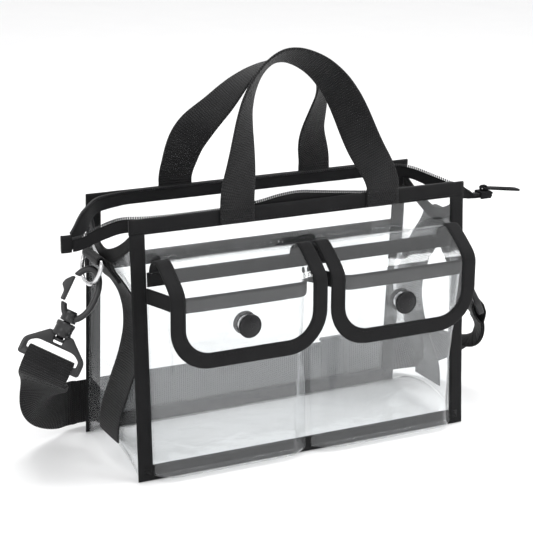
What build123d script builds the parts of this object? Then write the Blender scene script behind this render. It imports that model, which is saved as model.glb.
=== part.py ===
"""Clear make-up bag with taped edges, snap-flap pockets, webbing handles and a hooked shoulder strap.

Millimetres. Origin at the middle of the base, +X along the front, +Y to the back, +Z up.
"""
from build123d import *
from math import atan2, cos, pi, sin
import os

os.makedirs("parts", exist_ok=True)

# ---- bag body
BODY_W = 282
BODY_H = 198
BASE_D = 108
TOP_D = 83
PVC = 0.7                                  # clear sheet
TAPE_W = 12                                # binding tape, showing on each face
PLY = 0.8                                  # one ply of binding tape
LIFT = 0.1                                 # lowest edge of the bindings above the base sheet's underside
LEAN = atan2((BASE_D - TOP_D) / 2, BODY_H)
WALL_Y = BASE_D / 2

# ---- gussets
GUSSET_BOW = ((0.8, -1), (20, -1.8), (38, 0.5), (58, 9), (80, 18), (103, 22.5), (123, 19), (140, 8.5),
              (156, -3.4), (170, -4.5), (192, -1))     # height, and how far the middle is pulled in there
GUSSET_TOP = 186
GUSSET_DIP = 20
GUSSET_TAPE_W = 10.5
BASE_LIFT = 16                             # the bottom fold rises this far at the middle of each end
BASE_FLAT = 100                            # half-length of the part of the base that lies flat
SIDE_WEB_W = 38
SIDE_WEB = 1.3
SIDE_WEB_Z = (18, 160)

# ---- pockets, flaps and studs
POCKET_OUT = 129
POCKET_IN = 2
POCKET_NEAR = 17
POCKET_FAR = 119
POCKET_Z = (4, 146)
POCKET_DEPTH = (13, 35)
FLAP_X = 64.5
FLAP_W = 126
FLAP_CORNER = 32
FLAP_FOLD = (-56, 168)
FLAP_BEND = (-84, 149)
FLAP_HEM_Z = 93
FLAP_TAPE_V = (147.5, 158.5)
STUD_X = 65.5
STUD_Z = 121
CAP_R = 9

# ---- zip
ZIP_PLY = 0.8
ZIP_Y = 39.2
ZIP_END_Y = 2
ZIP_LEFT_X = -168.5
ZIP_RIGHT_X = 196.5
TEETH = 2
SLIDER_X = 189

# ---- handles and shoulder strap
HANDLE_W = 28
HANDLE_WEB = 1.8
STRAP_W = 36
STRAP_WEB = 1.6
STRAP_Y = 68
STRAP_LOW = 3.2
STRAP_HALF = 146                           # half-length of the straight run behind the bag
RING_WIRE = 1.6
RING_W = 36
RING_DROP = 20
RING_BAR = (-152, 0, 161)

front_wall = Plane(origin=(0, -WALL_Y, LIFT), x_dir=(1, 0, 0), z_dir=(0, -cos(LEAN), sin(LEAN)))


def wall_y(z):
    """Depth of the front wall's plane at a height."""
    return -WALL_Y + (BASE_D - TOP_D) / 2 * z / BODY_H


def keep(piece, name):
    """Label a finished piece and write it."""
    piece.part.label = name
    export_step(piece.part, f"parts/{name}.step")


def keep_sides(piece, name):
    """Keep a left-hand piece and its mirror image on the right."""
    keep(piece, "left_" + name)
    with BuildPart() as twin:
        mirror(piece.part, about=Plane.YZ)
    keep(twin, "right_" + name)


def keep_faces(piece, name):
    """Keep a front piece and its mirror image at the back."""
    keep(piece, "front_" + name)
    with BuildPart() as twin:
        mirror(piece.part, about=Plane.XZ)
    keep(twin, "back_" + name)


# ================================================================ walls and base
with BuildPart() as wall_panel:
    with BuildSketch(front_wall):
        with Locations((0, BODY_H / 2)):
            Rectangle(BODY_W - 1, BODY_H - 1)
    extrude(amount=PVC)
keep_faces(wall_panel, "panel")

with BuildPart() as edge_binding:
    with BuildSketch(front_wall.offset(-PLY)):
        with Locations((0, (BODY_H - TAPE_W) / 2)):
            Rectangle(BODY_W, BODY_H - TAPE_W)
        with Locations((0, BODY_H / 2 + TAPE_W)):
            Rectangle(BODY_W - 2 * TAPE_W, BODY_H, mode=Mode.SUBTRACT)
    extrude(amount=PVC + 2 * PLY)
    add(wall_panel.part, mode=Mode.SUBTRACT)
keep_faces(edge_binding, "edge_binding")

with BuildPart() as top_binding:
    with BuildSketch(front_wall.offset(-PLY)):
        with Locations((0, BODY_H - TAPE_W / 2)):
            Rectangle(BODY_W, TAPE_W)
    extrude(amount=PVC + 2 * PLY)
    add(wall_panel.part, mode=Mode.SUBTRACT)
keep_faces(top_binding, "top_binding")

BASE_HALF = WALL_Y - PLY - 0.2
BASE_END = BODY_W / 2 - 2


def lifted(height, low=0):
    """The base's arched end line, as three points in the YZ plane, raised by low."""
    return (-BASE_HALF, low), (0, height + low), (BASE_HALF, low)


def base_end():
    """The left end of the base, rising from flat to its arched end."""
    with BuildPart() as end:
        halfway = (BASE_FLAT + BASE_END) / 2
        for x, height in ((-BASE_FLAT, 0.3), (-halfway, BASE_LIFT * 0.3), (-BASE_END, BASE_LIFT)):
            under, over = lifted(height), lifted(height, PVC)
            with BuildSketch(Plane.YZ.offset(x)):
                with BuildLine():
                    ThreePointArc(*under)
                    Line(under[2], over[2])
                    ThreePointArc(*over)
                    Line(over[0], under[0])
                make_face()
        loft(ruled=True)
    return end.part


with BuildPart() as base:
    with BuildSketch(Plane.XY):
        Rectangle(2 * BASE_FLAT + 1, 2 * BASE_HALF)
    extrude(amount=PVC)
    add(base_end())
    add(base_end().mirror(Plane.YZ))
keep(base, "bottom_gusset")


# ================================================================ side gussets
def gusset_arcs(pull, outer, inner):
    """Three points on each face of a gusset section, offset outwards by outer and inwards by inner."""
    x, half = -BODY_W / 2 + 2, WALL_Y - PLY - 0.1
    return (((x - outer, -half), (x + pull - outer, 0), (x - outer, half)),
            ((x + inner, half), (x + pull + inner, 0), (x + inner, -half)))


def gusset_shell(outer, inner):
    """A bowed sheet from the base to above the gusset's top edge."""
    with BuildPart() as shell:
        for z, pull in GUSSET_BOW:
            out_face, in_face = gusset_arcs(pull, outer, inner)
            with BuildSketch(Plane.XY.offset(z)):
                with BuildLine():
                    ThreePointArc(*out_face)
                    Line(out_face[2], in_face[0])
                    ThreePointArc(*in_face)
                    Line(in_face[2], out_face[0])
                make_face()
        loft()
    return shell.part


def dip(drop):
    """The gusset's dipped top edge, lowered by drop, as points in the YZ plane."""
    half = -wall_y(GUSSET_TOP - drop) - PLY - 0.2
    top, low = GUSSET_TOP - drop, GUSSET_TOP - GUSSET_DIP - drop
    right = ((11, low + GUSSET_DIP * 0.14), (30, low + GUSSET_DIP * 0.58), (half, top))
    return *[(-y, z) for y, z in reversed(right)], (0, low), *right


sheet_shell = gusset_shell(0, PVC)
bound_shell = gusset_shell(PLY, PVC + PLY)
webbing_shell = gusset_shell(PLY + 0.1 + SIDE_WEB, -PLY - 0.1)

with BuildPart() as gusset:
    add(sheet_shell)
    with BuildSketch(Plane.YZ):
        with BuildLine():
            Spline(*dip(0))
            Line(dip(0)[-1], lifted(BASE_LIFT, PVC + 0.1)[2])
            ThreePointArc(*lifted(BASE_LIFT, PVC + 0.1))
            Line(lifted(BASE_LIFT, PVC + 0.1)[0], dip(0)[0])
        make_face()
    extrude(amount=-BODY_W, mode=Mode.INTERSECT)
keep_sides(gusset, "gusset")

with BuildPart() as gusset_top_binding:
    add(bound_shell)
    with BuildSketch(Plane.YZ):
        with BuildLine():
            Spline(*dip(-PLY))
            Line(dip(-PLY)[-1], dip(GUSSET_TAPE_W)[-1])
            Spline(*dip(GUSSET_TAPE_W))
            Line(dip(GUSSET_TAPE_W)[0], dip(-PLY)[0])
        make_face()
    extrude(amount=-BODY_W, mode=Mode.INTERSECT)
    add(gusset.part, mode=Mode.SUBTRACT)
keep_sides(gusset_top_binding, "gusset_top_binding")

with BuildPart() as side_webbing:
    add(webbing_shell)
    with BuildSketch(Plane.YZ):
        with Locations((0, (SIDE_WEB_Z[0] + SIDE_WEB_Z[1]) / 2)):
            Rectangle(SIDE_WEB_W, SIDE_WEB_Z[1] - SIDE_WEB_Z[0])
    extrude(amount=-BODY_W, mode=Mode.INTERSECT)
keep_sides(side_webbing, "gusset_webbing")

# ================================================================ rear slip pocket
rear_wall = Plane(origin=(0, WALL_Y, LIFT), x_dir=(-1, 0, 0), z_dir=(0, cos(LEAN), sin(LEAN)))
REAR_POCKET_TOP = 147
with BuildPart() as rear_pocket:
    with BuildSketch(rear_wall.offset(PVC + PLY + 0.05)):
        with Locations((0, REAR_POCKET_TOP / 2)):
            Rectangle(BODY_W - 6, REAR_POCKET_TOP - 6)
    extrude(amount=PVC)
keep(rear_pocket, "rear_pocket")

with BuildPart() as rear_pocket_binding:
    with BuildSketch(rear_wall.offset(PVC + PLY + 0.05)):
        with Locations((0, REAR_POCKET_TOP - 8)):
            Rectangle(BODY_W, TAPE_W)
    extrude(amount=PVC + PLY)
    add(rear_pocket.part, mode=Mode.SUBTRACT)
keep(rear_pocket_binding, "rear_pocket_binding")


# ================================================================ front pockets
def pocket_outline(z, skin):
    """Pocket plan at a height, grown by skin on its three walls; open towards the bag's front."""
    share = (z - POCKET_Z[0]) / (POCKET_Z[1] - POCKET_Z[0])
    back = wall_y(z) - PVC - PLY - 0.1 + (4 if skin < 0 else 0)
    front = wall_y(z) - POCKET_DEPTH[0] - share * (POCKET_DEPTH[1] - POCKET_DEPTH[0]) - skin
    return ((-POCKET_OUT - skin, back), (-POCKET_FAR - skin, front),
            (-POCKET_NEAR + skin, front), (-POCKET_IN + min(skin, 0.8), back))


def pocket_block(low, high, skin):
    """A solid between two heights with the pocket's outline grown by skin."""
    with BuildPart() as block:
        for z in (low, high):
            with BuildSketch(Plane.XY.offset(z)):
                with BuildLine():
                    Polyline(*pocket_outline(z, skin), close=True)
                make_face()
        loft(ruled=True)
    return block.part


with BuildPart() as pocket:
    add(pocket_block(*POCKET_Z, 0))
    add(pocket_block(POCKET_Z[0] + PVC, POCKET_Z[1] + 1, -PVC), mode=Mode.SUBTRACT)
keep_sides(pocket, "pocket")

with BuildPart() as pocket_binding:
    add(pocket_block(POCKET_Z[1] - TAPE_W, POCKET_Z[1] + PLY, PLY))
    add(pocket_block(POCKET_Z[1] - TAPE_W - 1, POCKET_Z[1] + 2, -PVC - PLY), mode=Mode.SUBTRACT)
    add(pocket.part, mode=Mode.SUBTRACT)
keep_sides(pocket_binding, "pocket_binding")

# ================================================================ flap tape and flaps
with BuildPart() as flap_tape:
    with BuildSketch(front_wall.offset(PVC)):
        with Locations((0, sum(FLAP_TAPE_V) / 2)):
            Rectangle(BODY_W - 2 * TAPE_W - 0.4, FLAP_TAPE_V[1] - FLAP_TAPE_V[0])
    extrude(amount=1.2)
keep(flap_tape, "flap_tape")

ROOT_GAP = 2.6
FLAP_GAP = 1.2
ROOT_W = FLAP_W - 4
ROOT = (wall_y(158) - PVC - 0.2, FLAP_TAPE_V[1] + 0.6)
with BuildPart() as flap_roots:
    with BuildSketch(Plane.YZ.offset(FLAP_X - ROOT_W / 2)):
        with BuildLine():
            Polyline(ROOT, (ROOT[0], ROOT[1] + PVC * 2), (FLAP_FOLD[0] + ROOT_GAP, FLAP_FOLD[1] + PVC),
                     (FLAP_FOLD[0] + ROOT_GAP, FLAP_FOLD[1] - PVC), close=True)
        make_face()
    extrude(amount=ROOT_W)
    mirror(about=Plane.YZ)
keep(flap_roots, "flap_roots")


def flap_sheet(inner, outer):
    """The folded flap from its hinge to its hem, between two offsets from the sheet's inner face."""
    fy, fz = FLAP_FOLD
    by, bz = FLAP_BEND
    start = fy - FLAP_GAP
    with BuildPart() as sheet:
        with BuildSketch(Plane.YZ.offset(-FLAP_X - FLAP_W / 2)):
            with BuildLine():
                Polyline((start, fz + outer), (by - outer, bz + outer), (by - outer, FLAP_HEM_Z),
                         (by - inner, FLAP_HEM_Z), (by - inner, bz + inner), (start, fz + inner), close=True)
            make_face()
        extrude(amount=FLAP_W)
    return sheet.part


FLAP_TOP_Z = FLAP_FOLD[1] + 4


def flap_outline(margin):
    """The flap's front view as a block through the bag: square at the fold, rounded at the hem."""
    with BuildPart() as block:
        with BuildSketch(Plane.XZ) as front_view:
            with Locations((-FLAP_X, (FLAP_TOP_Z + FLAP_HEM_Z) / 2 + margin / 2)):
                Rectangle(FLAP_W - 2 * margin, FLAP_TOP_Z - FLAP_HEM_Z - margin)
            fillet(front_view.vertices().group_by(Axis.Z)[0], FLAP_CORNER - margin)
        extrude(amount=BASE_D)
    return block.part


with BuildPart() as flap_panel:
    add(flap_sheet(0, PVC))
    add(flap_outline(0.5), mode=Mode.INTERSECT)
keep_sides(flap_panel, "flap_panel")

with BuildPart() as flap_binding:
    add(flap_sheet(-PLY, PVC + PLY))
    add(flap_outline(0), mode=Mode.INTERSECT)
    add(flap_outline(TAPE_W), mode=Mode.SUBTRACT)
    add(flap_panel.part, mode=Mode.SUBTRACT)
keep_sides(flap_binding, "flap_binding")

# ================================================================ press studs
POCKET_H = POCKET_Z[1] - POCKET_Z[0]
POCKET_LEAN = atan2(POCKET_DEPTH[1] - POCKET_DEPTH[0] - (BASE_D - TOP_D) / 2 * POCKET_H / BODY_H, POCKET_H)
stud_share = (STUD_Z - POCKET_Z[0]) / (POCKET_Z[1] - POCKET_Z[0])
POCKET_Y = wall_y(STUD_Z) - POCKET_DEPTH[0] - stud_share * (POCKET_DEPTH[1] - POCKET_DEPTH[0])
cap_face = Plane(origin=(-STUD_X, FLAP_BEND[0] - PVC, STUD_Z), x_dir=(1, 0, 0), z_dir=(0, -1, 0))
pocket_face = Plane(origin=(-STUD_X, POCKET_Y, STUD_Z), x_dir=(1, 0, 0),
                    z_dir=(0, -cos(POCKET_LEAN), -sin(POCKET_LEAN)))

with BuildPart() as snap_cap:
    with BuildSketch(cap_face):
        Circle(CAP_R)
    extrude(amount=3.4)
    fillet(snap_cap.edges().sort_by(Axis.Y)[0], 1.6)
keep_sides(snap_cap, "snap_cap")

with BuildPart() as snap_socket:
    with BuildSketch(cap_face.offset(-PVC)):
        Circle(7.5)
        Circle(4, mode=Mode.SUBTRACT)
    extrude(amount=-3)
keep_sides(snap_socket, "snap_socket")

with BuildPart() as snap_stud:
    with BuildSketch(pocket_face):
        Circle(6.5)
    extrude(amount=1)
    with BuildSketch(pocket_face):
        Circle(2.2)
    extrude(amount=3)
keep_sides(snap_stud, "snap_stud")

with BuildPart() as snap_back:
    with BuildSketch(pocket_face.offset(-PVC)):
        Circle(CAP_R)
    extrude(amount=-2)
keep_sides(snap_back, "snap_back")

# ================================================================ open zip
ZIP_PLAN = ((ZIP_LEFT_X, -ZIP_END_Y), (-152, -15), (-136, -31), (-118, -37.2), (-90, -ZIP_Y), (0, -ZIP_Y),
            (90, -ZIP_Y), (118, -37.2), (136, -31), (151, -15), (168, -ZIP_END_Y))
TAIL_Z = 172.1                             # top of the tape under the slider
ZIP_LOW = ((-172, 166), (-166, 167), (-150, 178), (-140, 185), (-110, 187), (110, 187), (137, 184.5),
           (150, 178), (164, 172), (174, 170), (200, 170))
ZIP_RUN = ((110, 195.4), (137, 193.5), (150, 188), (164, 181.5), (173, 177), (178.6, TAIL_Z), (200, TAIL_Z))
FRONT_CREST = ((-172, 175.5), (-166, 176), (-150, 188.8), (-140, 195.3), (-110, 195.8), (-60, 196.3),
               (-36, 198.8), (-20, 202), (-3, 203.3), (22, 200.2), (57, 196.3), *ZIP_RUN)
BACK_CREST = ((-172, 175.5), (-168, 178), (-160, 189), (-153, 193), (-140, 195.3), (-110, 195.8), *ZIP_RUN)


def raised(edge, rise):
    """An edge line moved up."""
    return [(x, z + rise) for x, z in edge]


def zip_strip(thick, low, high):
    """A strip along the front half's plan route, between a lower and an upper edge line."""
    with BuildPart() as strip:
        with BuildSketch(Plane.XY.offset(150)):
            with BuildLine():
                Spline(*ZIP_PLAN)
                Line(ZIP_PLAN[-1], (ZIP_RIGHT_X, -ZIP_END_Y))
            trace(line_width=thick)
        extrude(amount=70)
        with BuildSketch(Plane.XZ.offset(-10)):
            with BuildLine():
                Polyline(*low, *reversed(high), close=True)
            make_face()
        extrude(amount=60, mode=Mode.INTERSECT)
    return strip.part


with BuildPart() as front_tape:
    add(zip_strip(ZIP_PLY, ZIP_LOW, FRONT_CREST))
keep(front_tape, "front_zip_tape")

with BuildPart() as back_tape:
    add(zip_strip(ZIP_PLY, ZIP_LOW, BACK_CREST).mirror(Plane.XZ))
keep(back_tape, "back_zip_tape")

with BuildPart() as front_teeth:
    add(zip_strip(TEETH, raised(FRONT_CREST, 0.02), raised(FRONT_CREST, TEETH)))
keep(front_teeth, "front_zip_teeth")

with BuildPart() as back_teeth:
    add(zip_strip(TEETH, raised(BACK_CREST, 0.02), raised(BACK_CREST, TEETH)).mirror(Plane.XZ))
keep(back_teeth, "back_zip_teeth")

with BuildPart() as zip_end_tab:
    with BuildSketch(Plane.XY.offset(166)):
        with Locations((ZIP_LEFT_X - 4.5, 0)):
            RectangleRounded(8, 7, 1.5)
    extrude(amount=14)
keep(zip_end_tab, "zip_end_tab")

SLIDER_Z = (169.5, 175.5)
SLOT_H = 5                                 # slider's channel, from its underside
EYE_Z = 177.6
PULL_DROOP = 8
PULL_W = 9
with BuildPart() as zip_slider:
    with BuildSketch(Plane.XY.offset(SLIDER_Z[0])):
        with Locations((SLIDER_X, 0)):
            RectangleRounded(10, 10.6, 2)
    extrude(amount=SLIDER_Z[1] - SLIDER_Z[0])
    with BuildSketch(Plane.XY.offset(SLIDER_Z[0])):
        with Locations((SLIDER_X, 0)):
            Rectangle(12, 7.6)
    extrude(amount=SLOT_H, mode=Mode.SUBTRACT)
    with BuildSketch(Plane.XZ.offset(-1.2)):
        with Locations((SLIDER_X, EYE_Z)):
            SlotOverall(6.6, 5)
            SlotOverall(4, 2.6, mode=Mode.SUBTRACT)
    extrude(amount=2.4)
keep(zip_slider, "zip_slider")

PULL_ENDS = (-1.6, 35)                     # along the pull, from its pin
FORK_END = 4
pull_plane = Plane(origin=(SLIDER_X, 0, EYE_Z), x_dir=(1, 0, 0), z_dir=(0, 0, 1)).rotated((0, PULL_DROOP, 0))
with BuildPart() as zip_pull:
    with BuildSketch(pull_plane.offset(-0.8)) as pull_face:
        with Locations((sum(PULL_ENDS) / 2, 0)):
            Rectangle(PULL_ENDS[1] - PULL_ENDS[0], PULL_W)
        fillet(pull_face.vertices().group_by(Axis.X)[-1], 3)
        with Locations((FORK_END / 2 - 2, 0)):
            Rectangle(FORK_END + 4, 3.4, mode=Mode.SUBTRACT)
    extrude(amount=1.6)
    with BuildSketch(Plane.XZ.offset(-2.2)):
        with Locations((SLIDER_X, EYE_Z)):
            Circle(0.8)
    extrude(amount=4.4)
keep(zip_pull, "zip_pull_tab")

# ================================================================ carrying handles
FOOT_Y = 44.2
FOOT_Z = 200.5
FRONT_ARCH = ((-56, -FOOT_Y, FOOT_Z), (-52, -39, 215), (-43, -27, 242), (-33, -16, 272), (-2, -9, 301),
              (24, -11, 293), (46, -20, 265), (59, -34, 227), (67, -FOOT_Y, FOOT_Z))
BACK_ARCH = ((-67, FOOT_Y, FOOT_Z), (-65.5, 39, 217), (-61, 35, 233), (-38.5, 28.5, 259),
             (-13.5, 22.4, 283.5), (12, 20, 294), (40, 23, 281), (50.5, 30, 254), (47.8, 36, 228),
             (54.5, FOOT_Y, FOOT_Z))
ARCH_STEPS = 14


def webbing_sections(route, ends, turn, steps):
    """Planes along a route with given end directions; turn(share) is the direction across the webbing."""
    path = Spline(*route, tangents=ends)
    sections = []
    for step in range(steps + 1):
        share = step / steps
        ahead = path % share
        across = turn(share)
        across = (across - ahead * across.dot(ahead)).normalized()
        sections.append(Plane(origin=path @ share, x_dir=across, z_dir=ahead))
    return sections


def front_turn(share):
    """Across-webbing direction of the front handle: it turns half over from base to base."""
    return Vector(cos(pi * share), 0.87 * sin(pi * share), -0.5 * sin(pi * share))


def back_turn(share):
    """Across-webbing direction of the back handle, turning the other way."""
    return Vector(-cos(pi * share), 0.95 * sin(pi * share), -0.3 * sin(pi * share))


with BuildPart() as front_handle:
    for plane in webbing_sections(FRONT_ARCH, ((0, 0.1, 1), (0, -0.1, -1)), front_turn, ARCH_STEPS):
        with BuildSketch(plane):
            Rectangle(HANDLE_W, HANDLE_WEB)
    loft()
keep(front_handle, "front_handle")

with BuildPart() as back_handle:
    for plane in webbing_sections(BACK_ARCH, ((0, -0.1, 1), (0, 0.1, -1)), back_turn, ARCH_STEPS):
        with BuildSketch(plane):
            Rectangle(HANDLE_W, HANDLE_WEB)
    loft()
keep(back_handle, "back_handle")

for side, wall, arch in (("front", front_wall, FRONT_ARCH), ("back", rear_wall, BACK_ARCH)):
    with BuildPart() as anchors:
        for foot in (arch[0], arch[-1]):
            with BuildSketch(wall.offset(PVC + PLY)):
                with Locations((foot[0] * wall.x_dir.X, BODY_H - 6)):
                    Rectangle(HANDLE_W, 11)
            extrude(amount=HANDLE_WEB)
    keep(anchors, side + "_handle_anchors")

# ================================================================ D-rings and their tabs
bar_x, bar_y, bar_z = RING_BAR
ring_fall = Vector(-6, 0, -21).normalized()
ring_plane = Plane(origin=RING_BAR, x_dir=(0, 1, 0), z_dir=ring_fall.cross(Vector(0, 1, 0)))
TAB_W = 30

with BuildPart() as ring_tab:
    with BuildSketch(Plane.XZ.offset(-TAB_W / 2)):
        with Locations((bar_x, bar_z)):
            Circle(RING_WIRE + 2)
        with BuildLine():
            Polyline((bar_x - 1, bar_z - 3.4), (bar_x + 1, bar_z + 3.4), (-147.3, 160), (-145.4, 156),
                     (-139.9, 148), (-135.9, 142), (-137.4, 142), (-141.5, 148.5), (-147, 156.6), close=True)
        make_face()
        with Locations((bar_x, bar_z)):
            Circle(RING_WIRE + 0.6, mode=Mode.SUBTRACT)
    extrude(amount=TAB_W)
keep_sides(ring_tab, "ring_tab")

RING_CORNER = 4
RING_CURVE = 16
corner_x = RING_W / 2 - RING_CORNER
curve_x = RING_W / 2 - RING_CURVE
with BuildPart() as d_ring:
    with BuildLine(ring_plane) as ring_route:
        Line((0, 0), (corner_x, 0))
        CenterArc((corner_x, -RING_CORNER), RING_CORNER, 0, 90)
        CenterArc((curve_x, -RING_CORNER), RING_CURVE, -90, 90)
        Line((curve_x, -RING_DROP), (-curve_x, -RING_DROP))
        CenterArc((-curve_x, -RING_CORNER), RING_CURVE, 180, 90)
        CenterArc((-corner_x, -RING_CORNER), RING_CORNER, 90, 90)
        Line((-corner_x, 0), (0, 0))
    with BuildSketch(Plane(origin=RING_BAR, x_dir=(1, 0, 0), z_dir=(0, 1, 0))):
        Circle(RING_WIRE)
    sweep(path=ring_route.wires()[0])
keep_sides(d_ring, "d_ring")

# ================================================================ snap hooks and shoulder strap
RING_IN_HOOK = 64
HOOK_T = 8
YOKE_T = 5
LOOP_END = 10.7
STRAP_MID_Z = STRAP_LOW + STRAP_W / 2
ring_foot = Vector(*RING_BAR) + ring_fall * RING_DROP


def square_to(way, axis):
    """A direction made square to an axis."""
    return (way - axis * way.dot(axis)).normalized()


def keep_side(piece, side, name):
    """Keep a piece that is drawn on the left, mirrored if it belongs on the right."""
    if side == "left":
        keep(piece, "left_" + name)
    else:
        with BuildPart() as mirrored:
            mirror(piece.part, about=Plane.YZ)
        keep(mirrored, "right_" + name)


# side, direction up the hook's shank, across the claw, across the yoke's bar, strap route after the yoke
HOOKS = (("left", (0.50, 0.08, 0.86), (0.80, -0.50, -0.37), (0.80, -0.50, -0.37),
          ((-190, 9, 65), (-185, 29, 44), (-172, 49, 29), (-159, 61, 23))),
         ("right", (0.34, 0.10, 0.93), (0.80, -0.50, -0.37), (0.30, -0.93, -0.04),
          ((-185.5, -7, 60), (-182, 11, 47), (-173, 33, 36), (-162, 53, 27), (-155.5, 63, 23))))

for side, shank_way, claw_way, yoke_way, strap_way in HOOKS:
    shank = Vector(*shank_way).normalized()
    claw_x = square_to(Vector(*claw_way), shank)
    bar_x_dir = square_to(Vector(*yoke_way), shank)
    hook_foot = ring_foot - shank * RING_IN_HOOK - claw_x
    claw_plane = Plane(origin=hook_foot, x_dir=claw_x, z_dir=claw_x.cross(shank))
    yoke_plane = Plane(origin=hook_foot, x_dir=bar_x_dir, z_dir=bar_x_dir.cross(shank))

    with BuildPart() as hook_body:
        with BuildSketch(claw_plane.offset(-HOOK_T / 2)):
            with Locations((1, 54.5)):
                Ellipse(13, 22.5)
                Ellipse(8.5, 17.5, mode=Mode.SUBTRACT)
            with Locations((-10, 55)):
                Rectangle(12, 21, mode=Mode.SUBTRACT)
        extrude(amount=HOOK_T)
        fillet(hook_body.edges().filter_by(GeomType.ELLIPSE), 1.5)
        with BuildSketch(Plane(origin=hook_foot + shank * 32, x_dir=claw_x, z_dir=shank)):
            Circle(6)
        extrude(amount=8)
        with BuildSketch(Plane(origin=hook_foot + shank * 17, x_dir=claw_x, z_dir=shank)):
            Circle(2.8)
        extrude(amount=16)
        with BuildSketch(Plane(origin=hook_foot + shank * 16, x_dir=claw_x, z_dir=shank)):
            Circle(4.2)
        extrude(amount=2.5)
    keep_side(hook_body, side, "hook_body")

    with BuildPart() as hook_gate:
        with BuildSketch(claw_plane.offset(-HOOK_T / 2 + 1.5)):
            with BuildLine():
                Polyline((-12, 45.2), (-8.2, 45.2), (-8.2, 64.6), (-10.4, 64.6), (-14.5, 60), (-15.5, 56),
                         (-12, 52), close=True)
            make_face()
        extrude(amount=HOOK_T - 3)
    keep_side(hook_gate, side, "hook_gate")

    with BuildPart() as hook_yoke:
        with BuildSketch(yoke_plane.offset(-YOKE_T / 2)):
            with BuildLine():
                Polyline((-24.5, -3), (24.5, -3), (24.5, 9), (9, 23), (7.2, 31), (-7.2, 31), (-9, 23),
                         (-24.5, 9), close=True)
            make_face()
            with BuildLine():
                Polyline((-20, 3), (20, 3), (20, 8), (14.5, 12), (-14.5, 12), (-20, 8), close=True)
            make_face(mode=Mode.SUBTRACT)
            with Locations((0, 17)):
                Rectangle(11, 6, mode=Mode.SUBTRACT)
        extrude(amount=YOKE_T)
        with BuildSketch(Plane(origin=hook_foot + shank * 20, x_dir=bar_x_dir, z_dir=shank)):
            Circle(7.2)
        extrude(amount=11)
        with BuildSketch(Plane(origin=hook_foot + shank * 13, x_dir=bar_x_dir, z_dir=shank)):
            Circle(3.3)
        extrude(amount=20, mode=Mode.SUBTRACT)
    keep_side(hook_yoke, side, "hook_yoke")

    def end_turn(share, lay=bar_x_dir):
        """Across-webbing direction from the yoke's bar to upright behind the bag."""
        lie = min(1.0, share * 1.15)
        return lay * (1 - lie) + Vector(0.1, 0.1, 1) * lie

    strap_route = (hook_foot - shank * LOOP_END, *strap_way, (-STRAP_HALF, STRAP_Y, STRAP_MID_Z))
    with BuildPart() as strap_end:
        for plane in webbing_sections(strap_route, (-shank, (1, 0, 0)), end_turn, 10):
            with BuildSketch(plane):
                Rectangle(STRAP_W, STRAP_WEB)
        loft()
    keep_side(strap_end, side, "strap_end")

    with BuildPart() as strap_loop:
        loop_origin = hook_foot - shank * 2 - bar_x_dir * (STRAP_W / 2)
        with BuildSketch(Plane(origin=loop_origin, x_dir=yoke_plane.z_dir, z_dir=bar_x_dir)):
            SlotCenterToCenter(6, 11, rotation=90)
            SlotCenterToCenter(6, 11 - 2 * STRAP_WEB, rotation=90, mode=Mode.SUBTRACT)
        extrude(amount=STRAP_W)
    keep_side(strap_loop, side, "strap_loop")

with BuildPart() as strap:
    with BuildSketch(Plane.XY.offset(STRAP_LOW)):
        with Locations((0, STRAP_Y)):
            Rectangle(2 * STRAP_HALF, STRAP_WEB)
    extrude(amount=STRAP_W)
keep(strap, "shoulder_strap")

ADJUSTER_X = 90
with BuildPart() as strap_adjuster:
    with BuildSketch(Plane.XZ.offset(-STRAP_Y - 3)):
        with Locations((ADJUSTER_X, STRAP_MID_Z)):
            RectangleRounded(26, STRAP_W + 6, 3)
    extrude(amount=6)
    with BuildSketch(Plane.XZ.offset(-STRAP_Y - 1.2)):
        with Locations((ADJUSTER_X, STRAP_MID_Z)):
            Rectangle(30, STRAP_W + 1)
    extrude(amount=2.4, mode=Mode.SUBTRACT)
keep(strap_adjuster, "strap_adjuster")
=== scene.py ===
"""Looks of the clear make-up bag: soft clear sheets, taped edges, webbing, zip, press studs and snap hooks.

Lengths are written in millimetres, in the CAD frame, and turned into metres when a mesh is made.
"""
import math

import bmesh
import bpy
import numpy as np
from mathutils import Matrix, Vector, noise
from mathutils.geometry import tessellate_polygon


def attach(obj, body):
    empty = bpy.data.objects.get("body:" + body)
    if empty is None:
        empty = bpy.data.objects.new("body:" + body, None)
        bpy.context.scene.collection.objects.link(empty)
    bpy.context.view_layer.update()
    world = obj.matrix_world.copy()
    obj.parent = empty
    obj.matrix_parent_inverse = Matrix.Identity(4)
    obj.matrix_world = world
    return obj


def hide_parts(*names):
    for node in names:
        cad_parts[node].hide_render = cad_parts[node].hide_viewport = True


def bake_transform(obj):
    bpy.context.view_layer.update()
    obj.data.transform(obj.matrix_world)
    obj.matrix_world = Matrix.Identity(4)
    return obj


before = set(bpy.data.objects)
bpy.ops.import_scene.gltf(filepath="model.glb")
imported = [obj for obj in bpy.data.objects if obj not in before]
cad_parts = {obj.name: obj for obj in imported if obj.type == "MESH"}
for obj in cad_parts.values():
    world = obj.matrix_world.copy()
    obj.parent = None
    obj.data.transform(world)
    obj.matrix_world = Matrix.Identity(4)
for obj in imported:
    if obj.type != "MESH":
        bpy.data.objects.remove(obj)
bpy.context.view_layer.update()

MM = 0.001
# the bag's body, which leans in from its base to its top
BODY_W = 282
BODY_H = 198
BASE_D = 108
TOP_D = 83
LEAN = math.atan2((BASE_D - TOP_D) / 2, BODY_H)
# the clear sheet's thickness, and the binding tape's width and folded thickness
PVC = 0.7
TAPE_W = 12
TAPE_T = 2.3
# the walls' clearance above the floor
LIFT = 0.1
X, Y, Z = np.eye(3)

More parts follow.
